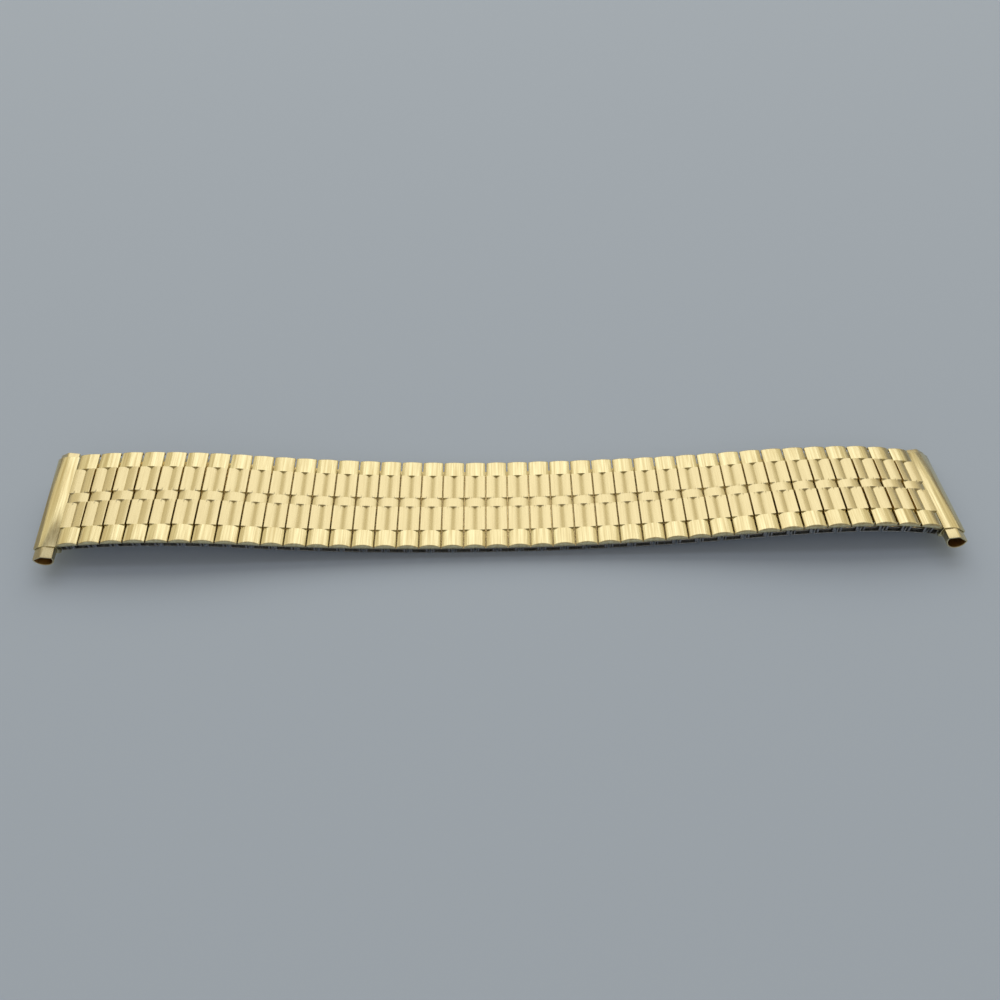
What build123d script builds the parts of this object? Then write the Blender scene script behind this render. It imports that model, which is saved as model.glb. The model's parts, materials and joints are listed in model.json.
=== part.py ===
"""Expansion watch band: stamped covers on two staggered rows of sprung sleeves, joined by bows."""

import os
from math import cos, radians, sin, sqrt

from build123d import *

# Driving dimensions, in millimetres. X runs along the band, Y across it and Z up.
link_count = 39
hinge_every = 3
pitch = 3.5
link_gap = 0.3
band_width = 17.5
row_gap = 0.2
stretch = 0.7
sheet = 0.15
running_clearance = 0.05

# Cover: three domed columns with two hollowed fields between them, and a hem down each side.
outer_column_width = 3.1
centre_column_width = 1.6
dome_rise = 0.31
cover_web = 0.18
cover_hem = 0.3
hem_drop = 0.3
cover_seat = 0.02

# Sleeves: a closed steel tube each, of the same length in both rows.
sleeve_length = 16.0
upper_height = 1.0
lower_height = 1.1
sleeve_corner = 0.2

# Bows: a flat staple at each side, with one leg in either row.
bow_strip = 0.3
bow_bridge = 0.33
leg_height = 0.36
leg_depth = 0.5
leg_length = 5.0
pivot_strip = 0.2
pivot_radius = 0.35

# Leaf springs: one strip in each lower sleeve, under the legs.
leaf_thickness = 0.1
leaf_length = 15.0
leaf_lift = 0.04

# End pieces: a curved cover over two telescoping sleeves that take the watch's spring bar.
telescope_width = 3.14
telescope_roof = 0.6
telescope_depth = 1.9
telescope_eaves = 0.75
telescope_sheet = 0.2
telescope_clearance = 0.06
telescope_length = 8.2
near_reach = 1.9
far_reach = 0.9
end_sheet = 0.2
end_cover_inset = 0.1
end_wall_foot = 0.9
end_hook = 0.1
end_link_gap = 0.35

# Lie: three arcs on either hand of the valley, up to a shoulder, over a crest and down to the end.
left_lie_lengths = (42.0, 14.0, 18.0)
left_lie_turns = (7.2, 5.3, 10.0)
right_lie_lengths = (38.5, 16.5, 18.0)
right_lie_turns = (5.8, 5.4, 20.0)

# Twist: past the middle links the band turns about its own length, its near side up on the right.
twist_per_link = 0.3
untwisted_links = 1.5

# Sizes that follow from the ones above.
half_link = (pitch - link_gap) / 2
upper_bottom = row_gap / 2
upper_top = upper_bottom + upper_height
lower_top = -row_gap / 2
lower_bottom = lower_top - lower_height
cover_bottom = upper_top + cover_seat
cusp_height = cover_bottom + cover_web
crest_height = cusp_height + dome_rise
bridge_inside = sleeve_length / 2 + running_clearance
bridge_outside = bridge_inside + bow_bridge
end_cover_length = band_width - 2 * end_cover_inset
valley_link = (link_count + 1) / 2 + 0.5

# A bow stands where the next link, sliding by the stretch, brings its sleeve's wall up to the leg.
bow_offset = half_link - sheet - running_clearance - bow_strip / 2 - stretch
bow_share = bow_offset / pitch

os.makedirs("parts", exist_ok=True)


def half_lie(lengths, turns, side):
    """Half of the lie, drawn flat with x along the band and y up, from the valley out to one end."""
    with BuildLine() as half:
        start, heading = (0, 0), (side, 0)
        for length, turn, bend in zip(lengths, turns, (1, -1, -1)):
            arc = JernArc(start, heading, length / radians(turn), side * bend * turn)
            start, heading = arc @ 1, arc % 1
    return half.wires()[0]


# The band lies in a shallow wave: flat at its valley, a crest on either hand, ends curled down.
left_lie = half_lie(left_lie_lengths, left_lie_turns, -1)
right_lie = half_lie(right_lie_lengths, right_lie_turns, 1)


def station(number):
    """Plane on the lie at a link number: 1 is the first link, a half falls between two links."""
    reach = (number - valley_link) * pitch
    side, half = (1, right_lie) if reach >= 0 else (-1, left_lie)
    here = half.position_at(abs(reach), position_mode=PositionMode.LENGTH)
    along = half.tangent_at(abs(reach), position_mode=PositionMode.LENGTH) * side
    twisted_links = max(0, abs(number - valley_link) - untwisted_links)
    lean = radians(side * twist_per_link * twisted_links)
    return Plane(
        origin=(here.X, 0, here.Y - lower_bottom),
        x_dir=(along.X, 0, along.Y),
        z_dir=(-along.Y * cos(lean), sin(lean), along.X * cos(lean)),
    )


def both_sides(piece):
    """The piece at the near side of the band, and its mirror image at the far side."""
    with BuildPart() as pair:
        add(piece)
        mirror(about=Plane.XZ)
    return pair.part


def along_y(face_y):
    """Drawing plane across the band at face_y, with x along the band and y up; it extrudes nearward."""
    return Plane.XZ.offset(-face_y)


# The cover is stamped: its columns crest at the link's middle and its fields at the link's edges.
field_width = (band_width - centre_column_width) / 2 - outer_column_width
field_edge = centre_column_width / 2 + field_width
with BuildPart() as cover:
    for column_far_edge, column_width in (
        (band_width / 2, outer_column_width),
        (centre_column_width / 2, centre_column_width),
        (-field_edge, outer_column_width),
    ):
        with BuildSketch(along_y(column_far_edge)):
            with BuildLine():
                Polyline(
                    (-half_link, cusp_height),
                    (-half_link, cover_bottom),
                    (half_link, cover_bottom),
                    (half_link, cusp_height),
                )
                ThreePointArc((half_link, cusp_height), (0, crest_height), (-half_link, cusp_height))
            make_face()
        extrude(amount=column_width)
    for field_far_edge in (field_edge, -centre_column_width / 2):
        with BuildSketch(along_y(field_far_edge)):
            with BuildLine():
                Polyline(
                    (-half_link, crest_height),
                    (-half_link, cover_bottom),
                    (half_link, cover_bottom),
                    (half_link, crest_height),
                    (0, cusp_height),
                    close=True,
                )
            make_face()
        extrude(amount=field_width)
    # A hem is folded down each side, over the ends of the sleeve beneath.
    with BuildSketch(Plane.XY.offset(cover_bottom)):
        for side in (-1, 1):
            with Locations((0, side * (band_width - cover_hem) / 2)):
                Rectangle(2 * half_link, cover_hem)
    extrude(amount=-hem_drop)

# Upper sleeve: the closed steel tube that the cover is folded over.
with BuildPart() as upper_sleeve:
    with BuildSketch(Plane.XZ):
        with Locations((0, (upper_bottom + upper_top) / 2)):
            Rectangle(2 * half_link, upper_height)
            Rectangle(2 * (half_link - sheet), upper_height - 2 * sheet, mode=Mode.SUBTRACT)
    extrude(amount=sleeve_length / 2, both=True)


def lower_sleeve(hinged):
    """Sleeve against the wrist, half a pitch along; a hinged one has its lower corner cut back."""
    with BuildPart() as sleeve:
        with BuildSketch(Plane.XZ) as section:
            with Locations((0, (lower_bottom + lower_top) / 2)):
                Rectangle(2 * half_link, lower_height)
            if hinged:
                chamfer(section.vertices().group_by(Axis.Z)[0].sort_by(Axis.X)[0], sleeve_corner)
            with Locations((0, (lower_bottom + lower_top) / 2)):
                Rectangle(2 * (half_link - sheet), lower_height - 2 * sheet, mode=Mode.SUBTRACT)
        extrude(amount=sleeve_length / 2, both=True)
    return sleeve.part


# Bow: a flat staple pushed in from the side, with a leg in the upper and the lower row.
leg_end = bridge_outside - leg_length
leg_near = leg_depth - leg_height / 2
leg_far = leg_depth + leg_height / 2


def staple(strip):
    """Bow of the near side, bent from a strip of the given width along the band."""
    with BuildPart() as bow:
        with BuildSketch(Plane.YZ):
            with BuildLine():
                Polyline(
                    (-bridge_outside, leg_far),
                    (-leg_end, leg_far),
                    (-leg_end, leg_near),
                    (-bridge_inside, leg_near),
                    (-bridge_inside, -leg_near),
                    (-leg_end, -leg_near),
                    (-leg_end, -leg_far),
                    (-bridge_outside, -leg_far),
                    close=True,
                )
            make_face()
        extrude(amount=strip / 2, both=True)
    return bow.part


bows = both_sides(staple(bow_strip))

# Pivot bow: the underside of its lower leg is rounded, and the lower link rocks on it.
crown_edge = pivot_radius - leg_far - sqrt(pivot_radius**2 - (pivot_strip / 2) ** 2)
with BuildPart() as near_pivot_bow:
    add(staple(pivot_strip))
    with BuildSketch(along_y(-leg_end)):
        with BuildLine():
            crown = ThreePointArc(
                (-pivot_strip / 2, crown_edge), (0, -leg_far), (pivot_strip / 2, crown_edge)
            )
            Polyline(
                crown @ 1,
                (pivot_strip / 2, -leg_far - pivot_strip),
                (-pivot_strip / 2, -leg_far - pivot_strip),
                crown @ 0,
            )
        make_face()
    extrude(amount=leg_length, mode=Mode.SUBTRACT)
pivot_bows = both_sides(near_pivot_bow.part)

# Leaf spring: it presses the legs up from the floor of the lower sleeve, and so draws the band in.
with BuildPart() as leaf:
    with BuildSketch(Plane.XY.offset(lower_bottom + sheet + leaf_lift)):
        Rectangle(2 * (half_link - sheet - running_clearance), leaf_length)
    extrude(amount=leaf_thickness)


def hinged_after(number):
    """True where a hinge follows a link, so that its lower link is a piece of its own."""
    return number % hinge_every == 0


for number in range(1, link_count + 1):
    with BuildPart() as link:
        with Locations(station(number)):
            add(cover.part)
            add(upper_sleeve.part)
        with Locations(station(number + bow_share)):
            add(pivot_bows if hinged_after(number) else bows)
        if number == 1:
            with Locations(station(number - bow_share)):
                add(pivot_bows)
        if not hinged_after(number):
            with Locations(station(number + 0.5)):
                add(lower_sleeve(hinged=False))
                add(leaf.part)
            with Locations(station(number + 1 - bow_share)):
                add(bows)
    link.part.label = f"link_{number:02d}"
    export_step(link.part, f"parts/link_{number:02d}.step")

for number in range(hinge_every, link_count, hinge_every):
    with BuildPart() as lower_link:
        with Locations(station(number + 0.5)):
            add(lower_sleeve(hinged=True))
            add(leaf.part)
        with Locations(station(number + 1 - bow_share)):
            add(bows)
    lower_link.part.label = f"lower_link_{number:02d}"
    export_step(lower_link.part, f"parts/lower_link_{number:02d}.step")

# Telescoping sleeve: a shallow roof over a round trough, drawn once for all that fits round it.
telescope_middle = -half_link + end_sheet + telescope_clearance + telescope_width / 2
telescope_left = telescope_middle - telescope_width / 2
telescope_right = telescope_middle + telescope_width / 2
with BuildSketch() as telescope_outline:
    with BuildLine():
        roof = Polyline(
            (telescope_right, telescope_eaves),
            (telescope_middle, telescope_eaves + telescope_roof),
            (telescope_left, telescope_eaves),
        )
        ThreePointArc(roof @ 1, (telescope_middle, telescope_eaves - telescope_depth), roof @ 0)
    make_face()

# End cover: it wraps the telescoping sleeves, with a straight wall where it meets the last link.
with BuildPart() as end_cover:
    with BuildSketch(along_y(end_cover_length / 2)):
        add(telescope_outline.sketch)
        offset(amount=telescope_clearance + end_sheet, kind=Kind.INTERSECTION)
        with Locations((-half_link, -end_wall_foot)):
            Rectangle(end_sheet + telescope_width / 2, telescope_eaves + end_wall_foot, align=Align.MIN)
        with Locations((-half_link, -end_wall_foot)):
            Rectangle(
                2 * telescope_width,
                pitch,
                align=(Align.MIN, Align.MAX),
                mode=Mode.SUBTRACT,
            )
        with Locations((telescope_middle, -end_hook)):
            Rectangle(telescope_width, pitch, align=(Align.MIN, Align.MAX), mode=Mode.SUBTRACT)
    extrude(amount=end_cover_length)
    with BuildSketch(along_y(end_cover_length / 2)):
        add(telescope_outline.sketch)
        offset(amount=telescope_clearance, kind=Kind.INTERSECTION)
    extrude(amount=end_cover_length, mode=Mode.SUBTRACT)

# End link: half a lower sleeve, fixed to the end cover's wall and hung on the last pivot bows.
end_link_length = 1.5 * pitch - 2 * half_link - end_link_gap
with BuildPart() as end_link:
    with BuildSketch(Plane.XZ) as end_section:
        with Locations((-half_link - end_link_length / 2, (lower_bottom + lower_top) / 2)):
            Rectangle(end_link_length, lower_height)
            chamfer(end_section.vertices().group_by(Axis.X)[0], sleeve_corner)
            Rectangle(end_link_length - 2 * sheet, lower_height - 2 * sheet, mode=Mode.SUBTRACT)
    extrude(amount=sleeve_length / 2, both=True)


def telescope_sleeve(outer_y):
    """Telescoping sleeve whose mouth is at outer_y, on either side of the band."""
    inward = telescope_length if outer_y > 0 else -telescope_length
    with BuildPart() as sleeve:
        with BuildSketch(along_y(outer_y)):
            add(telescope_outline.sketch)
            offset(telescope_outline.sketch, amount=-telescope_sheet, mode=Mode.SUBTRACT)
        extrude(amount=inward)
    return sleeve.part


end_pieces = {
    "end_cover": end_cover.part,
    "end_link": end_link.part,
    "near_sleeve": telescope_sleeve(-end_cover_length / 2 - near_reach),
    "far_sleeve": telescope_sleeve(end_cover_length / 2 + far_reach),
}
for piece_name, piece in end_pieces.items():
    with BuildPart() as right_piece:
        with Locations(station(link_count + 1)):
            add(piece)
    right_piece.part.label = f"right_{piece_name}"
    export_step(right_piece.part, f"parts/right_{piece_name}.step")
    with BuildPart() as mirrored_piece:
        mirror(piece, about=Plane.YZ)
    with BuildPart() as left_piece:
        with Locations(station(0)):
            add(mirrored_piece.part)
    left_piece.part.label = f"left_{piece_name}"
    export_step(left_piece.part, f"parts/left_{piece_name}.step")
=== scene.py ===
"""Looks of the expansion watch band: stamped gold-tone covers over two rows of steel sleeves."""

import json
from math import asin, atan2, cos, hypot, pi, radians, sin, sqrt, tan

import bpy
from mathutils import Matrix, Vector


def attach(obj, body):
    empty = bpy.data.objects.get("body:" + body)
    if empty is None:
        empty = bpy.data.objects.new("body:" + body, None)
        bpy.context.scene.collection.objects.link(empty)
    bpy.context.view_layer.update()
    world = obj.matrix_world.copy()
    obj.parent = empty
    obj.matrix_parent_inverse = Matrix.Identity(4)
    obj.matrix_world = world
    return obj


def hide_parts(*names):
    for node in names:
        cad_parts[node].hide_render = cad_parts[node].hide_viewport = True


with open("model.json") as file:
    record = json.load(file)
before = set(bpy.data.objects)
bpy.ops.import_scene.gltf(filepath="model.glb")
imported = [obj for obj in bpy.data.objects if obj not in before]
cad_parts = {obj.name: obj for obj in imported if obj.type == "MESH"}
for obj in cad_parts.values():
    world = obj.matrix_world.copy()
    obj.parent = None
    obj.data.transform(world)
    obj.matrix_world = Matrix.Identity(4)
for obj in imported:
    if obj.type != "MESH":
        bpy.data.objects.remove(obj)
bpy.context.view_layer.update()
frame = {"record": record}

# Sizes in millimetres, in each link's own frame: x along the band, y across it, z up.
MM = 0.001
LINK_COUNT = 39
HINGE_EVERY = 3
PITCH = 3.5
HALF_LINK = 1.6
BAND_WIDTH = 17.5
HALF_WIDTH = BAND_WIDTH / 2

# Lie of the band: three arcs on either hand of the valley, each a length and a turn in degrees,
# with the twist that grows from link to link beyond the middle ones.
LEFT_LIE = ((42.0, 7.2), (14.0, -5.3), (18.0, -10.0))
RIGHT_LIE = ((38.5, 5.8), (16.5, -5.4), (18.0, -20.0))
VALLEY_LINK = 20.5
TWIST_PER_LINK = radians(0.3)
UNTWISTED_LINKS = 1.5

# Stamped cover: domed columns at its sides and middle, hollowed fields between them.
HALF_COVER = 1.65
OUTER_COLUMN_WIDTH = 3.1
CENTRE_COLUMN_WIDTH = 1.6
FIELD_EDGE = HALF_WIDTH - OUTER_COLUMN_WIDTH
CENTRE_EDGE = CENTRE_COLUMN_WIDTH / 2
COVER_BOTTOM = 1.12
CREST_HEIGHT = 1.61
DOME_DEPTH = 0.35
FIELD_DEPTH = 0.30
CREASE_SLOPE = radians(27)
EDGE_ROUND = 0.09
STEP_WIDTH = 0.05
BEVEL_AT_CUSP = 0.02
BEVEL_STEEPNESS = 2.5
BEVEL_BLEND = 0.09
HEM = 0.3
HEM_BOTTOM = 0.82
HEM_LIP = 0.06

# Spacing of the cover's vertices.
FIELD_MARGIN = 0.15
FIELD_PARTS = 8
COLUMN_ROWS = 5
COLUMN_ROW_STEP = 0.45
BEVEL_ROWS = 10
BEVEL_REACH = 1.7
CREASE_HALF = 0.02
PLAIN_PARTS = 14
ROUND_PARTS = 5

# Sleeves, bent from strip.
SHEET = 0.15
SLEEVE_LENGTH = 16.0
SLEEVE_ROUND = 0.2
SLEEVE_INNER_ROUND = 0.05
SLEEVE_RIM = 0.025
SEAM = 0.05
SEAM_ROUND = 0.03
UPPER_SLEEVE_SPAN = (0.1, 1.1)
LOWER_SLEEVE_SPAN = (-1.2, -0.1)
# Share of each sleeve's height above which its faces carry a painted reflection: a gold tone for
# the covers' gold light in the gaps.
UPPER_PAINTED_REFLECTION_FROM = 0.3
LOWER_PAINTED_REFLECTION_FROM = 0.75
END_LINK_FROM = -3.22
END_LINK_SHEET = 0.09

# Bows: each edge's staple, with its two legs in the sleeves.
BOW_SHARE = 0.55 / PITCH
BRIDGE_INSIDE = 8.05
BRIDGE_OUTSIDE = 8.38
LEG_END = BRIDGE_OUTSIDE - 5.0
LEG_NEAR, LEG_FAR = 0.32, 0.68
BOW_STRIP = 0.3
PIVOT_BOW_STRIP = 0.2
BOW_OUTER_ROUND, BOW_INNER_ROUND, LEG_END_ROUND = 0.3, 0.06, 0.1
BOW_RIM = 0.05

# Leaf springs: height of their lowest face, and how far their two waves lift.
LEAF_HALF_LENGTH, LEAF_HALF_WIDTH, LEAF_THICKNESS = 7.5, 1.4, 0.1
LEAF_TRIM, LEAF_TRIM_LENGTH = 0.3, 0.4
LEAF_ROWS = 24
LOWER_LEAF = (-1.01, 0.16)
UPPER_LEAF = (0.84, -0.1)

# End pieces: the telescoping sleeve's outline, and the end cover that follows it at a distance.
TELESCOPE_HALF = 1.57
TELESCOPE_SHEET = 0.2
TELESCOPE_LENGTH = 8.2
TELESCOPE_RIDGE_ROUND = 0.8
TELESCOPE_RIM = 0.05
EAVES, RIDGE, TROUGH = 0.75, 1.35, -1.15
TROUGH_RADIUS = (TELESCOPE_HALF**2 + (EAVES - TROUGH) ** 2) / (2 * (EAVES - TROUGH))
TROUGH_CENTRE = TROUGH + TROUGH_RADIUS
ROOF_FALL = (RIDGE - EAVES) / TELESCOPE_HALF
END_COVER_INSIDE, END_COVER_OUTSIDE = 0.06, 0.26
END_COVER_HALF = 8.65
END_COVER_RIDGE_ROUND = 3.2
END_COVER_RIM = 0.07
END_WALL_FOOT = -0.9
END_HOOK = -0.1
TELESCOPE_MIDDLE = -HALF_LINK + END_COVER_OUTSIDE + TELESCOPE_HALF
NEAR_MOUTH = -END_COVER_HALF - 1.9
FAR_MOUTH = END_COVER_HALF + 0.9

# Edges sharper than these are shaded as edges, on plain and on softened meshes, or softened.
PLAIN_CREASE = radians(32)
SOFTENED_CREASE = radians(50)
SOFTENED_FROM = radians(40)


def station(number):
    """Place of a link's frame on the lie: 1 is the first link, a half falls between two links."""
    reach = (number - VALLEY_LINK) * PITCH
    side, arcs = (1, RIGHT_LIE) if reach >= 0 else (-1, LEFT_LIE)
    reach = abs(reach)
    x = z = slope = 0.0
    for length, turn in arcs:
        part = min(reach, length)
        reach -= part
        radius = length / radians(turn)
        ahead = slope + part / radius
        x += radius * (sin(ahead) - sin(slope))
        z -= radius * (cos(ahead) - cos(slope))
        slope = ahead
    lean = side * TWIST_PER_LINK * max(0, abs(number - VALLEY_LINK) - UNTWISTED_LINKS)
    place = Matrix.Rotation(-side * slope, 4, "Y") @ Matrix.Rotation(-lean, 4, "X")
    x += reach * cos(slope)
    z += reach * sin(slope) - LOWER_SLEEVE_SPAN[0]
    place.translation = (side * x * MM, 0, z * MM)
    return place


def mesh_from(name, vertices, faces, materials, face_slots=None):
    """Mesh from vertices in millimetres, shaded smooth except along its sharper edges."""
    data = bpy.data.meshes.new(name)
    data.from_pydata([tuple(c * MM for c in vertex) for vertex in vertices], [], faces)
    for material in materials:
        data.materials.append(material)
    if face_slots is not None:
        data.polygons.foreach_set("material_index", face_slots)
    data.polygons.foreach_set("use_smooth", [True] * len(data.polygons))
    data.validate()
    data.set_sharp_from_angle(angle=PLAIN_CREASE)
    return data


def softened(data, width, segments=2):
    """The mesh with its sharper edges rounded to a width in millimetres."""
    rough = bpy.data.objects.new(data.name, data)
    bpy.context.scene.collection.objects.link(rough)
    bevel = rough.modifiers.new("rounding", "BEVEL")
    bevel.width = width * MM
    bevel.segments = segments
    bevel.limit_method = "ANGLE"
    bevel.angle_limit = SOFTENED_FROM
    depsgraph = bpy.context.evaluated_depsgraph_get()
    rounded = bpy.data.meshes.new_from_object(rough.evaluated_get(depsgraph))
    bpy.data.objects.remove(rough)
    rounded.polygons.foreach_set("use_smooth", [True] * len(rounded.polygons))
    rounded.set_sharp_from_angle(angle=SOFTENED_CREASE)
    return rounded


def piece(name, data, place, body, slot, *nodes):
    """Object of a mesh at a place in the frame, riding on its body and standing for its nodes."""
    thing = bpy.data.objects.new(name, data)
    bpy.context.scene.collection.objects.link(thing)
    thing.matrix_world = place
    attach(thing, body)
    if nodes:
        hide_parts(*nodes)


def round_corners(points, radii, step=0.25):
    """Closed outline with each corner rounded to its radius, a point for each step in radians."""
    outline = []
    count = len(points)
    for i, (corner, radius) in enumerate(zip(points, radii)):
        corner = Vector(corner)
        back = (Vector(points[i - 1]) - corner).normalized()
        ahead = (Vector(points[(i + 1) % count]) - corner).normalized()
        half = back.angle(ahead) / 2
        if radius <= 0 or abs(half - pi / 2) < 0.01:
            outline.append(tuple(corner))
            continue
        centre = corner + (back + ahead).normalized() * (radius / sin(half))
        tangent = radius / sin(half) * cos(half)
        start = corner + back * tangent - centre
        end = corner + ahead * tangent - centre
        turn = atan2(start.x * end.y - start.y * end.x, start.dot(end))
        pieces = max(2, round(abs(turn) / step))
        for k in range(pieces + 1):
            angle = turn * k / pieces
            outline.append((
                centre.x + start.x * cos(angle) - start.y * sin(angle),
                centre.y + start.x * sin(angle) + start.y * cos(angle),
            ))
    return outline


def prism(outline, low, high, axis="y"):
    """Vertices and faces of an outline run along an axis, with flat ends."""
    count = len(outline)
    if axis == "y":
        vertices = [(u, t, v) for t in (low, high) for u, v in outline]
    else:
        vertices = [(t, u, v) for t in (low, high) for u, v in outline]
    faces = [(i, (i + 1) % count, count + (i + 1) % count, count + i) for i in range(count)]
    faces += [tuple(range(count - 1, -1, -1)), tuple(range(count, 2 * count))]
    area = sum(
        outline[i - 1][0] * outline[i][1] - outline[i][0] * outline[i - 1][1]
        for i in range(count)
    )
    if (area > 0) == (axis == "y"):
        faces = [tuple(reversed(face)) for face in faces]
    return vertices, faces


def joined(*parts):
    """Several lots of vertices and faces as one."""
    vertices, faces = [], []
    for more_vertices, more_faces in parts:
        base = len(vertices)
        vertices += list(more_vertices)
        faces += [tuple(i + base for i in face) for face in more_faces]
    return vertices, faces


def mirrored(part, axis):
    """Mirror image of a lot of vertices and faces, across x (0) or y (1)."""
    vertices, faces = part
    flip = [-1 if i == axis else 1 for i in range(3)]
    return [tuple(c * f for c, f in zip(v, flip)) for v in vertices], [f[::-1] for f in faces]


# Materials. Each one's grain is laid out in the piece's own coordinates, in metres.
NOISE_SHIFT = 37.0
NOISE_MIDDLE = (0.3, 0.7)
PATCH_SCALE = (420.0, 260.0, 420.0)


def node_material(name):
    """Node material with only its shader and output joined: the material, tree and shader."""
    material = bpy.data.materials.new(name)
    material.use_nodes = True
    tree = material.node_tree
    tree.nodes.clear()
    shader = tree.nodes.new("ShaderNodeBsdfPrincipled")
    output = tree.nodes.new("ShaderNodeOutputMaterial")
    tree.links.new(shader.outputs["BSDF"], output.inputs["Surface"])
    return material, tree, shader


def stretched_noise(tree, coordinates, scale, detail, roughness=0.55):
    """Noise of so many cells to the metre along each axis, shifted from object to object."""
    mapping = tree.nodes.new("ShaderNodeMapping")
    mapping.inputs["Scale"].default_value = scale
    tree.links.new(coordinates, mapping.inputs["Vector"])
    spread = tree.nodes.new("ShaderNodeMath")
    spread.operation = "MULTIPLY"
    spread.inputs[1].default_value = NOISE_SHIFT
    tree.links.new(tree.nodes.new("ShaderNodeObjectInfo").outputs["Random"], spread.inputs[0])
    shift = tree.nodes.new("ShaderNodeVectorMath")
    shift.operation = "ADD"
    tree.links.new(mapping.outputs["Vector"], shift.inputs[0])
    tree.links.new(spread.outputs[0], shift.inputs[1])
    noise = tree.nodes.new("ShaderNodeTexNoise")
    noise.inputs["Scale"].default_value = 1.0
    noise.inputs["Detail"].default_value = detail
    noise.inputs["Roughness"].default_value = roughness
    tree.links.new(shift.outputs[0], noise.inputs["Vector"])
    return noise.outputs["Fac"]


def ranged(tree, value, low, high):
    """The middle of a noise carried to the range from low to high."""
    span = tree.nodes.new("ShaderNodeMapRange")
    keys = ("From Min", "From Max", "To Min", "To Max")
    for key, number in zip(keys, (*NOISE_MIDDLE, low, high)):
        span.inputs[key].default_value = number
    tree.links.new(value, span.inputs["Value"])
    return span.outputs["Result"]


def tinted(tree, value, tones):
    """The middle of a noise as a colour between two tones."""
    ramp = tree.nodes.new("ShaderNodeValToRGB")
    for element, place, tone in zip(ramp.color_ramp.elements, NOISE_MIDDLE, tones):
        element.position = place
        element.color = (*tone, 1.0)
    tree.links.new(value, ramp.inputs["Fac"])
    return ramp.outputs["Color"]


def bumped(tree, shader, height, distance, before=None):
    """Bump on the shader from a height, over an earlier bump if there is one."""
    bump = tree.nodes.new("ShaderNodeBump")
    bump.inputs["Strength"].default_value = 1.0
    bump.inputs["Distance"].default_value = distance
    tree.links.new(height, bump.inputs["Height"])
    if before is not None:
        tree.links.new(before, bump.inputs["Normal"])
    tree.links.new(bump.outputs["Normal"], shader.inputs["Normal"])
    return bump.outputs["Normal"]


def brushed_metal(name, tones, rough, grain, grain_depth, streaks, streak_depth, dent_depth):
    """Metal with a grain of fine lines, broader streaks, a slow unevenness and a change of tone."""
    material, tree, shader = node_material(name)
    coordinates = tree.nodes.new("ShaderNodeTexCoord").outputs["Object"]
    shader.inputs["Metallic"].default_value = 1.0
    lines = stretched_noise(tree, coordinates, grain, detail=4.0, roughness=0.6)
    bands = stretched_noise(tree, coordinates, streaks, detail=2.0)
    patches = stretched_noise(tree, coordinates, PATCH_SCALE, detail=2.0)
    tree.links.new(tinted(tree, bands, tones), shader.inputs["Base Color"])
    tree.links.new(ranged(tree, lines, *rough), shader.inputs["Roughness"])
    slow = bumped(tree, shader, patches, dent_depth)
    middle = bumped(tree, shader, bands, streak_depth, slow)
    bumped(tree, shader, lines, grain_depth, middle)
    return material


polished_gold = brushed_metal(
    "polished_gold",
    tones=((0.58, 0.49, 0.27), (0.83, 0.77, 0.50)),
    rough=(0.12, 0.26),
    grain=(26000.0, 900.0, 9000.0),
    grain_depth=0.0000008,
    streaks=(2900.0, 110.0, 2500.0),
    streak_depth=0.000016,
    dent_depth=0.000012,
)
satin_gold = brushed_metal(
    "satin_gold",
    tones=((0.67, 0.585, 0.355), (0.74, 0.66, 0.415)),
    rough=(0.24, 0.34),
    grain=(30000.0, 1500.0, 9000.0),
    grain_depth=0.0000016,
    streaks=(5500.0, 150.0, 2500.0),
    streak_depth=0.000005,
    dent_depth=0.000006,
)
# Painted shade: a darker, browner gold for the covers' hem insides, hem ends and underside and for
# the telescoping sleeves' insides. It stands in for the shade in there.
inner_gold = brushed_metal(
    "inner_gold",
    tones=((0.42, 0.27, 0.10), (0.56, 0.39, 0.16)),
    rough=(0.28, 0.45),
    grain=(9000.0, 900.0, 9000.0),
    grain_depth=0.000002,
    streaks=(3000.0, 300.0, 3000.0),
    streak_depth=0.000005,
    dent_depth=0.000006,
)
# Painted light: a paler gold for the covers' walls that face the next links. It stands in for light
# inside the gaps between covers.
edge_gold = brushed_metal(
    "edge_gold",
    tones=((0.82, 0.68, 0.38), (0.90, 0.77, 0.46)),
    rough=(0.16, 0.26),
    grain=(9000.0, 900.0, 9000.0),
    grain_depth=0.000001,
    streaks=(3000.0, 300.0, 3000.0),
    streak_depth=0.000003,
    dent_depth=0.000004,
)
# Painted reflection: a gold tone on the sleeves' upper faces, seen down the gaps between covers. It
# stands in for the covers' gold light reflected into the gaps.
worn_gilt = brushed_metal(
    "worn_gilt",
    tones=((0.78, 0.64, 0.34), (0.86, 0.72, 0.42)),
    rough=(0.20, 0.32),
    grain=(12000.0, 1200.0, 12000.0),
    grain_depth=0.000002,
    streaks=(2500.0, 400.0, 2500.0),
    streak_depth=0.000004,
    dent_depth=0.000006,
)
# Part the steel's own grey, part painted shade: both steels are toned darker for the shade they lie
# in under the band.
brushed_steel = brushed_metal(
    "brushed_steel",
    tones=((0.42, 0.42, 0.41), (0.52, 0.52, 0.51)),
    rough=(0.22, 0.38),
    grain=(18000.0, 700.0, 18000.0),
    grain_depth=0.0000016,
    streaks=(3500.0, 140.0, 3500.0),
    streak_depth=0.000003,
    dent_depth=0.000006,
)
spring_steel = brushed_metal(
    "spring_steel",
    tones=((0.27, 0.27, 0.28), (0.38, 0.38, 0.39)),
    rough=(0.28, 0.42),
    grain=(900.0, 16000.0, 16000.0),
    grain_depth=0.0000016,
    streaks=(400.0, 3500.0, 3500.0),
    streak_depth=0.000003,
    dent_depth=0.000004,
)


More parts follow.
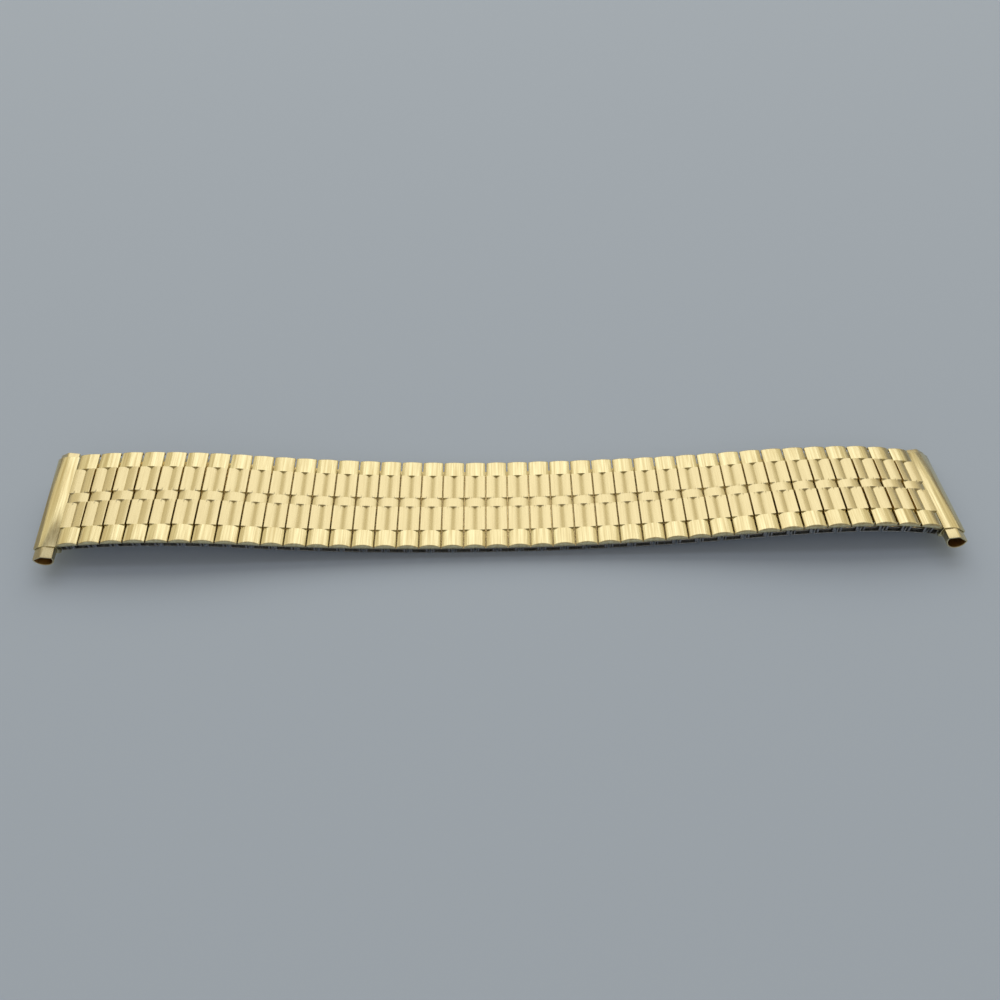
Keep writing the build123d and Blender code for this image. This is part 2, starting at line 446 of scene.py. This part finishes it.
def dome(x):
    """Height of a domed column along the link."""
    radius = (HALF_COVER**2 + DOME_DEPTH**2) / (2 * DOME_DEPTH)
    return CREST_HEIGHT - radius + sqrt(radius**2 - x**2)


def field(x):
    """Height of a hollowed field: from a crease at the middle each half swells up to the rim."""
    share = abs(x) / HALF_COVER
    power = HALF_COVER * tan(CREASE_SLOPE) / FIELD_DEPTH
    return CREST_HEIGHT - FIELD_DEPTH * (1 - share) ** power


def link_edge(x):
    """How far the rounding of the link's edges lowers the surface."""
    over = abs(x) - (HALF_COVER - EDGE_ROUND)
    return 0.0 if over <= 0 else EDGE_ROUND - sqrt(max(0.0, EDGE_ROUND**2 - over**2))


def surface_height(x, y):
    """Height of the outer face, with the steps between columns and fields of a tiny width."""
    across = abs(y)
    if FIELD_EDGE - STEP_WIDTH < across < FIELD_EDGE:
        across = FIELD_EDGE - STEP_WIDTH
    if CENTRE_EDGE < across < CENTRE_EDGE + STEP_WIDTH:
        across = CENTRE_EDGE
    height = dome(x) if across >= FIELD_EDGE or across <= CENTRE_EDGE else field(x)
    cusp = CREST_HEIGHT - DOME_DEPTH
    bevel = cusp - BEVEL_AT_CUSP + BEVEL_STEEPNESS * (HALF_WIDTH - across)
    return (height + bevel - hypot(height - bevel, BEVEL_BLEND)) / 2 - link_edge(x)


def both_sides(places):
    """The places, each once and in order, with their mirror images before them."""
    half = sorted(set(round(place, 4) for place in places))
    return [-place for place in reversed(half[1:])] + half


def cover_rows():
    """Places across the band of the cover's rows of vertices, closer at its steps and bevels."""
    field_from = CENTRE_EDGE + FIELD_MARGIN
    field_width = FIELD_EDGE - CENTRE_EDGE - 2 * FIELD_MARGIN
    half = [0.0, 0.3, 0.6, CENTRE_EDGE - STEP_WIDTH, CENTRE_EDGE, CENTRE_EDGE + STEP_WIDTH]
    half += [field_from + k * field_width / FIELD_PARTS for k in range(FIELD_PARTS + 1)]
    half += [FIELD_EDGE - STEP_WIDTH, FIELD_EDGE, FIELD_EDGE + STEP_WIDTH]
    half += [FIELD_EDGE + 0.4 + COLUMN_ROW_STEP * k for k in range(COLUMN_ROWS)]
    bevel_width = BEVEL_REACH * (BEVEL_AT_CUSP + DOME_DEPTH) / BEVEL_STEEPNESS
    half += [HALF_WIDTH - bevel_width * (1 - k / BEVEL_ROWS) for k in range(BEVEL_ROWS + 1)]
    return both_sides(half)


def cover_columns():
    """Places along the link of the cover's lines of vertices, closer together at its edges."""
    plain = HALF_COVER - EDGE_ROUND
    half = [0.0, CREASE_HALF] + [k * plain / PLAIN_PARTS for k in range(1, PLAIN_PARTS)]
    half += [plain + EDGE_ROUND * sin(k * pi / 2 / ROUND_PARTS) for k in range(ROUND_PARTS + 1)]
    return both_sides(half)


# Slots of the cover: polished gold, satin gold, gold darkened as painted shade, and gold lightened
# as painted light.
POLISHED, SATIN, PAINTED_SHADE, PAINTED_LIGHT_WALL = range(4)


def cover_mesh():
    """The stamped cover: relief, walls towards the next links, hems at the sides, underside."""
    xs, ys = cover_columns(), cover_rows()
    nx, ny = len(xs), len(ys)
    vertices = [(x, y, surface_height(x, y)) for y in ys for x in xs]
    faces, slots = [], []
    for j in range(ny - 1):
        polished = abs(ys[j] + ys[j + 1]) / 2 > FIELD_EDGE - STEP_WIDTH
        for i in range(nx - 1):
            a = j * nx + i
            faces.append((a, a + 1, a + nx + 1, a + nx))
            slots.append(POLISHED if polished else SATIN)
    # Walls, from the relief's ends down to the sleeve, in gold lightened as painted light so the
    # gaps between covers stay bright.
    for i, order in ((0, 1), (nx - 1, -1)):
        base = len(vertices)
        vertices += [(xs[i], y, COVER_BOTTOM) for y in ys]
        for j in range(ny - 1):
            quad = (j * nx + i, (j + 1) * nx + i, base + j + 1, base + j)
            faces.append(quad[::order])
            slots.append(PAINTED_LIGHT_WALL)
    # Hems: the outer skin runs on down each side, turns under and comes back up inside; from the
    # turn under onwards, and at the ends, it is gold darkened as painted shade.
    hem_inside = HALF_WIDTH - HEM
    profile = (
        (HALF_WIDTH, HEM_BOTTOM + HEM_LIP),
        (HALF_WIDTH - HEM_LIP * 0.3, HEM_BOTTOM + HEM_LIP * 0.3),
        (HALF_WIDTH - HEM_LIP, HEM_BOTTOM),
        (hem_inside, HEM_BOTTOM),
        (hem_inside, COVER_BOTTOM),
    )
    for j, facing in ((0, -1), (ny - 1, 1)):
        last = [j * nx + i for i in range(nx)]
        for k, (y, z) in enumerate(profile):
            here = list(range(len(vertices), len(vertices) + nx))
            vertices += [(x, facing * y, z) for x in xs]
            for i in range(nx - 1):
                quad = (last[i], last[i + 1], here[i + 1], here[i])
                faces.append(quad[::facing])
                slots.append(POLISHED if k < 3 else PAINTED_SHADE)
            last = here
        for i, side in ((0, -1), (nx - 1, 1)):
            base = len(vertices)
            vertices.append((xs[i], facing * HALF_WIDTH, surface_height(xs[i], HALF_WIDTH)))
            vertices += [(xs[i], facing * y, z) for y, z in profile]
            faces.append(tuple(range(base, len(vertices)))[:: side * facing])
            slots.append(PAINTED_SHADE)
    # Underside, just above the sleeve, in gold darkened as painted shade.
    base = len(vertices)
    vertices += [
        (x, y, COVER_BOTTOM) for y in (-hem_inside, hem_inside) for x in (-HALF_COVER, HALF_COVER)
    ]
    faces.append((base, base + 2, base + 3, base + 1))
    slots.append(PAINTED_SHADE)
    materials = [polished_gold, satin_gold, inner_gold, edge_gold]
    return mesh_from("cover", vertices, faces, materials, slots)


def sleeve_section(low, high, x_from=-HALF_LINK, x_to=HALF_LINK, sheet=SHEET):
    """Outline of a sleeve bent from strip, its two edges meeting at a seam under its middle."""
    middle = (x_from + x_to) / 2
    points = [
        (middle + SEAM / 2, low), (x_to, low), (x_to, high), (x_from, high), (x_from, low),
        (middle - SEAM / 2, low), (middle - SEAM / 2, low + sheet),
        (x_from + sheet, low + sheet), (x_from + sheet, high - sheet),
        (x_to - sheet, high - sheet), (x_to - sheet, low + sheet), (middle + SEAM / 2, low + sheet),
    ]
    outside = [SEAM_ROUND] + [SLEEVE_ROUND] * 4 + [SEAM_ROUND]
    inside = [0] + [SLEEVE_INNER_ROUND] * 4 + [0]
    return round_corners(points, outside + inside)


def sleeve_mesh(name, low, high, painted_reflection_from):
    """Steel sleeve with a painted reflection from a share of its height upwards: a gold tone on its
    faces that don't face down, for the covers' gold light in the gaps.
    """
    part = prism(sleeve_section(low, high), -SLEEVE_LENGTH / 2, SLEEVE_LENGTH / 2)
    data = softened(mesh_from(name, *part, [brushed_steel, worn_gilt]), SLEEVE_RIM)
    painted_reflection_height = (low + painted_reflection_from * (high - low)) * MM
    for face in data.polygons:
        if face.center.z > painted_reflection_height and face.normal.z > -0.5:
            face.material_index = 1
    return data


def bow_mesh(name, strip):
    """Pair of bows, near and far: each a strip bent to a staple with rounded corners."""
    half_outline = [
        (-BRIDGE_OUTSIDE, LEG_FAR),
        (-LEG_END, LEG_FAR),
        (-LEG_END, LEG_NEAR),
        (-BRIDGE_INSIDE, LEG_NEAR),
    ]
    half_radii = [BOW_OUTER_ROUND, LEG_END_ROUND, LEG_END_ROUND, BOW_INNER_ROUND]
    outline = half_outline + [(y, -z) for y, z in reversed(half_outline)]
    outline = round_corners(outline, half_radii + half_radii[::-1])
    near = prism(outline, -strip / 2, strip / 2, axis="x")
    return softened(mesh_from(name, *joined(near, mirrored(near, 1)), [spring_steel]), BOW_RIM)


def leaf_mesh(name, low, lift):
    """Leaf spring: a thin strip that rises to the bows' legs in two waves, narrower at its ends."""
    vertices, faces = [], []
    for level in (0.0, LEAF_THICKNESS):
        for j in range(LEAF_ROWS + 1):
            y = -LEAF_HALF_LENGTH + 2 * LEAF_HALF_LENGTH * j / LEAF_ROWS
            rise = lift * 0.5 * (1 - cos(2 * pi * (y + LEAF_HALF_LENGTH) / LEAF_HALF_LENGTH))
            to_end = min(y + LEAF_HALF_LENGTH, LEAF_HALF_LENGTH - y)
            half = LEAF_HALF_WIDTH - LEAF_TRIM * max(0.0, 1 - to_end / LEAF_TRIM_LENGTH) ** 2
            vertices += [(x, y, low + level + rise) for x in (-half, 0.0, half)]
    top = 3 * (LEAF_ROWS + 1)
    for j in range(LEAF_ROWS):
        for i in range(2):
            a = 3 * j + i
            faces.append((a, a + 3, a + 4, a + 1))
            faces.append((top + a, top + a + 1, top + a + 4, top + a + 3))
        a, b = 3 * j, 3 * j + 2
        faces.append((a, top + a, top + a + 3, a + 3))
        faces.append((b, b + 3, top + b + 3, top + b))
    for j, order in ((0, 1), (LEAF_ROWS, -1)):
        for i in range(2):
            a = 3 * j + i
            faces.append((a, a + 1, top + a + 1, top + a)[::order])
    return mesh_from(name, vertices, faces, [spring_steel])


def trough_arc(radius, start, end, pieces):
    """Points of the round trough at a radius, between two angles."""
    angles = [start + (end - start) * k / pieces for k in range(pieces + 1)]
    return [
        (TELESCOPE_MIDDLE + radius * cos(a), TROUGH_CENTRE + radius * sin(a)) for a in angles
    ]


def roof(grow, ridge_round):
    """Right eave, rounded ridge and left eave of the outline moved outwards, with its angle."""
    radius = TROUGH_RADIUS + grow
    ridge = RIDGE + grow * hypot(1, ROOF_FALL)
    rise = ridge - TROUGH_CENTRE
    slant = 1 + ROOF_FALL**2
    inside = (rise * ROOF_FALL) ** 2 - slant * (rise**2 - radius**2)
    half = (rise * ROOF_FALL + sqrt(inside)) / slant
    eave = ridge - half * ROOF_FALL
    corners = [
        (TELESCOPE_MIDDLE + half, eave),
        (TELESCOPE_MIDDLE, ridge),
        (TELESCOPE_MIDDLE - half, eave),
    ]
    points = round_corners(corners, [0, ridge_round + grow, 0], step=0.05)
    return points, atan2(eave - TROUGH_CENTRE, half)


def telescope_ring(grow):
    """Closed outline of the telescoping sleeve, moved outwards."""
    points, angle = roof(grow, TELESCOPE_RIDGE_ROUND)
    return points + trough_arc(TROUGH_RADIUS + grow, pi - angle, 2 * pi + angle, 30)[1:-1]


def end_mesh(name, part, mirror, *looks):
    """Mesh of an end piece, made for the right end and mirrored for the left one."""
    return mesh_from(name, *(mirrored(part, 0) if mirror else part), *looks)


def telescope_mesh(name, mouth, mirror):
    """Telescoping sleeve from its mouth inwards, its lip a little rounded."""
    inner_end = mouth - TELESCOPE_LENGTH if mouth > 0 else mouth + TELESCOPE_LENGTH
    outer, inner = telescope_ring(0.0), telescope_ring(-TELESCOPE_SHEET)
    count = len(outer)
    vertices = [
        (x, y, z) for y in sorted((mouth, inner_end)) for ring in (outer, inner) for x, z in ring
    ]
    faces, slots = [], []
    for i in range(count):
        j = (i + 1) % count
        faces += [
            (i, 2 * count + i, 2 * count + j, j),
            (count + j, 3 * count + j, 3 * count + i, count + i),
            (i, j, count + j, count + i),
            (2 * count + j, 2 * count + i, 3 * count + i, 3 * count + j),
        ]
        # Outside and ends in satin gold, the inside in gold darkened as painted shade.
        slots += [0, 1, 0, 0]
    data = end_mesh(name, (vertices, faces), mirror, [satin_gold, inner_gold], slots)
    return softened(data, TELESCOPE_RIM)


def hook_angle(radius):
    """Angle on the trough at which the end cover's hooked edge ends."""
    below = END_HOOK - TROUGH_CENTRE
    return 2 * pi + atan2(below, sqrt(radius**2 - below**2))


def end_cover_mesh(name, mirror):
    """End cover: a skin round the telescoping sleeves, with a straight wall on the band's side."""
    outer, angle = roof(END_COVER_OUTSIDE, END_COVER_RIDGE_ROUND)
    inner, inner_angle = roof(END_COVER_INSIDE, END_COVER_RIDGE_ROUND)
    outer_radius = TROUGH_RADIUS + END_COVER_OUTSIDE
    inner_radius = TROUGH_RADIUS + END_COVER_INSIDE
    outline = trough_arc(outer_radius, hook_angle(outer_radius), 2 * pi + angle, 8)[:-1]
    outline += [point for point in outer if point[0] > -HALF_LINK]
    outline += [(-HALF_LINK, outer[-1][1]), (-HALF_LINK, END_WALL_FOOT)]
    foot = pi - asin((END_WALL_FOOT - TROUGH_CENTRE) / inner_radius)
    outline += trough_arc(inner_radius, foot, pi - inner_angle, 16)[:-1]
    outline += inner[::-1]
    outline += trough_arc(inner_radius, 2 * pi + inner_angle, hook_angle(inner_radius), 8)[1:]
    part = prism(outline, -END_COVER_HALF, END_COVER_HALF)
    return softened(end_mesh(name, part, mirror, [polished_gold]), END_COVER_RIM, segments=3)


def end_link_mesh(name, mirror):
    """Half sleeve between the last pivot bows and the end cover's wall."""
    section = sleeve_section(
        *LOWER_SLEEVE_SPAN, x_from=END_LINK_FROM, x_to=-HALF_LINK, sheet=END_LINK_SHEET
    )
    part = prism(section, -SLEEVE_LENGTH / 2, SLEEVE_LENGTH / 2)
    return softened(end_mesh(name, part, mirror, [brushed_steel]), SLEEVE_RIM)


# The pieces of the links, each kind's mesh made once and stood at its places on the lie.
cover = cover_mesh()
upper_sleeve = sleeve_mesh("upper_sleeve", *UPPER_SLEEVE_SPAN, UPPER_PAINTED_REFLECTION_FROM)
lower_sleeve = sleeve_mesh("lower_sleeve", *LOWER_SLEEVE_SPAN, LOWER_PAINTED_REFLECTION_FROM)
bows = bow_mesh("bows", BOW_STRIP)
pivot_bows = bow_mesh("pivot_bows", PIVOT_BOW_STRIP)
lower_leaf = leaf_mesh("lower_leaf", *LOWER_LEAF)
upper_leaf = leaf_mesh("upper_leaf", *UPPER_LEAF)

for number in range(1, LINK_COUNT + 1):
    body = f"link_{number:02d}"
    hinged = number % HINGE_EVERY == 0
    here = station(number)
    piece(f"cover_{number:02d}", cover, here, body, "gold_tone", body)
    piece(f"upper_sleeve_{number:02d}", upper_sleeve, here, body, "steel")
    piece(f"upper_leaf_{number:02d}", upper_leaf, here, body, "steel")
    outward = pivot_bows if hinged else bows
    piece(f"right_bows_{number:02d}", outward, station(number + BOW_SHARE), body, "steel")
    if number == 1:
        piece("left_bows_01", pivot_bows, station(1 - BOW_SHARE), body, "steel")
    if number == LINK_COUNT:
        break
    # The lower sleeve beside it, with the bows that hold the next link.
    lower_body = f"lower_link_{number:02d}" if hinged else body
    between = station(number + 0.5)
    nodes = (lower_body,) if hinged else ()
    piece(f"lower_sleeve_{number:02d}", lower_sleeve, between, lower_body, "steel", *nodes)
    piece(f"lower_leaf_{number:02d}", lower_leaf, between, lower_body, "steel")
    next_bows = station(number + 1 - BOW_SHARE)
    piece(f"left_bows_{number + 1:02d}", bows, next_bows, lower_body, "steel")

# The end pieces. Each is on the body that carries its node.
bodies = frame["record"]["behaviour"]["bodies"]
for side, place, mirror in (("left", station(0), True), ("right", station(LINK_COUNT + 1), False)):
    for part, data, slot in (
        ("end_cover", end_cover_mesh(f"{side}_end_cover_skin", mirror), "gold_tone"),
        ("end_link", end_link_mesh(f"{side}_end_link_tube", mirror), "steel"),
        ("near_sleeve", telescope_mesh(f"{side}_near_tube", NEAR_MOUTH, mirror), "gold_tone"),
        ("far_sleeve", telescope_mesh(f"{side}_far_tube", FAR_MOUTH, mirror), "gold_tone"),
    ):
        node = f"{side}_{part}"
        body = next(name for name, nodes in bodies.items() if node in nodes)
        piece(f"{node}_piece", data, place, body, slot, node)

# Floor, lights and camera, in metres.
FLOOR_HALF = 3.0
FLOOR_COLOUR = (0.52, 0.62, 0.79, 1.0)
FLOOR_ROUGHNESS = 0.75
WORLD_COLOUR = (1.0, 0.92, 0.78, 1.0)
WORLD_STRENGTH = 0.30
ELEVATION = radians(50)
YAW = radians(-0.7586)
ROLL = radians(-1.7521)
DISTANCE = 0.155929
TARGET = Vector((-0.001181, -0.000633, 0.004))
LENS = 35.17
SENSOR_WIDTH = 36.0
CLIP_START = 0.005


def floor():
    """Plain pale floor, quite matt."""
    corners = [(-1, -1), (1, -1), (1, 1), (-1, 1)]
    data = bpy.data.meshes.new("floor")
    vertices = [(x * FLOOR_HALF, y * FLOOR_HALF, 0) for x, y in corners]
    data.from_pydata(vertices, [], [(0, 1, 2, 3)])
    thing = bpy.data.objects.new("floor", data)
    bpy.context.scene.collection.objects.link(thing)
    material, _, shader = node_material("pale_floor")
    shader.inputs["Base Color"].default_value = FLOOR_COLOUR
    shader.inputs["Roughness"].default_value = FLOOR_ROUGHNESS
    data.materials.append(material)


def softbox(name, elevation, distance, size, radiance, tone=(1.0, 1.0, 1.0)):
    """Soft rectangular light of an even radiance, facing the band from above its middle."""
    width, depth = size
    lamp = bpy.data.lights.new(name, "AREA")
    lamp.shape = "RECTANGLE"
    lamp.size, lamp.size_y = width, depth
    lamp.energy = radiance * pi * width * depth
    lamp.color = tone
    thing = bpy.data.objects.new(name, lamp)
    angle = radians(elevation)
    thing.location = (0.0, distance * cos(angle), distance * sin(angle))
    thing.rotation_euler = (radians(elevation - 90), 0.0, 0.0)
    thing.visible_camera = False
    bpy.context.scene.collection.objects.link(thing)


def add_camera():
    """Camera at the photograph's angle."""
    camera_data = bpy.data.cameras.new("camera")
    camera_data.sensor_width = SENSOR_WIDTH
    camera_data.lens = LENS
    camera_data.clip_start = CLIP_START
    camera = bpy.data.objects.new("camera", camera_data)
    look = Vector((sin(YAW) * cos(ELEVATION), cos(YAW) * cos(ELEVATION), -sin(ELEVATION)))
    level = Vector((cos(YAW), -sin(YAW), 0.0))
    upright = level.cross(look)
    right = level * cos(ROLL) + upright * sin(ROLL)
    up = upright * cos(ROLL) - level * sin(ROLL)
    place = Matrix((right, up, -look)).transposed().to_4x4()
    place.translation = TARGET - look * DISTANCE
    camera.matrix_world = place
    bpy.context.scene.collection.objects.link(camera)
    bpy.context.scene.camera = camera


floor()
softbox("far_strip", 51, 0.97, (1.02, 0.68), 0.55, tone=(0.96, 1.0, 1.12))
softbox("warm_strip", 47, 1.0, (3.4, 0.95), 0.58, tone=(1.0, 0.88, 0.58))
softbox("overhead", 86, 0.95, (1.3, 0.18), 0.8)
softbox("near_fill", 138, 1.0, (1.2, 0.5), 0.22)
world = bpy.data.worlds.new("studio")
bpy.context.scene.world = world
world.use_nodes = True
world.node_tree.nodes["Background"].inputs["Color"].default_value = WORLD_COLOUR
world.node_tree.nodes["Background"].inputs["Strength"].default_value = WORLD_STRENGTH
add_camera()

bpy.context.scene.view_settings.view_transform = "Standard"
